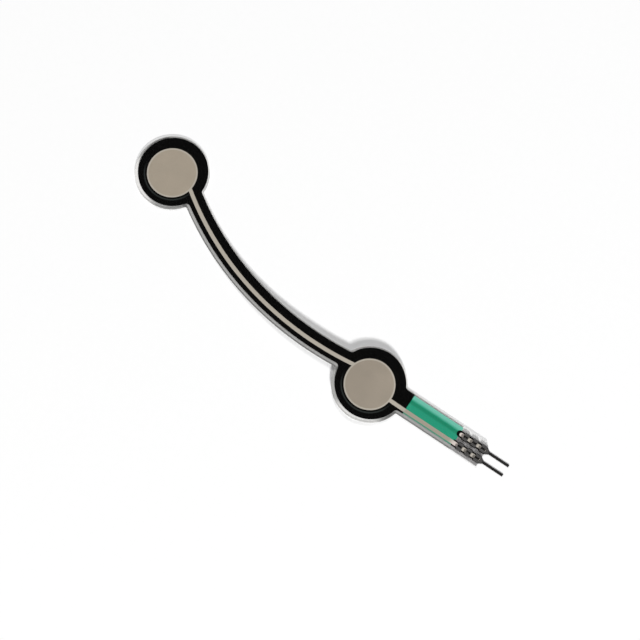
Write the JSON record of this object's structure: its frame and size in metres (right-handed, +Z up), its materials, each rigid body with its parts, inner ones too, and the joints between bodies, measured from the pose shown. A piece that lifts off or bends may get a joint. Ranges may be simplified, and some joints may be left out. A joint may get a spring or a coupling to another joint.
{
  "type": "force sensing resistor",
  "caption": "Thin printed film force sensor: round sensing pads joined by a curved neck, with a green tail and crimped solder pins.",
  "frame": {"origin": "centre of the end pad's back face, on the surface that the part lies on", "axes": "+X along the straight tail towards the solder pins, +Z up out of the printed face, +Y across the tail towards the arc's centre"},
  "size_m": [0.1116, 0.0337, 0.0017],
  "materials": {
    "liner": "matt coated paper",
    "adhesive": "clear acrylic adhesive",
    "film": "clear polyester film",
    "silver_print": "matt printed silver",
    "black_ink": "black resistive ink",
    "green_print": "green insulating ink",
    "contact_metal": "dull tinned metal"
  },
  "bodies": {
    "root": {"release_liner": "liner", "mounting_adhesive": "adhesive", "lower_film": "film", "lower_electrode": "silver_print", "lower_ink_pads": "black_ink", "spacer_adhesive": "adhesive", "upper_ink_print": "black_ink", "green_insulator": "green_print", "contact_inks": "black_ink", "upper_electrode": "silver_print", "land_bridge": "silver_print", "upper_film": "film", "near_contact": "contact_metal", "far_contact": "contact_metal"}
  },
  "joints": []
}
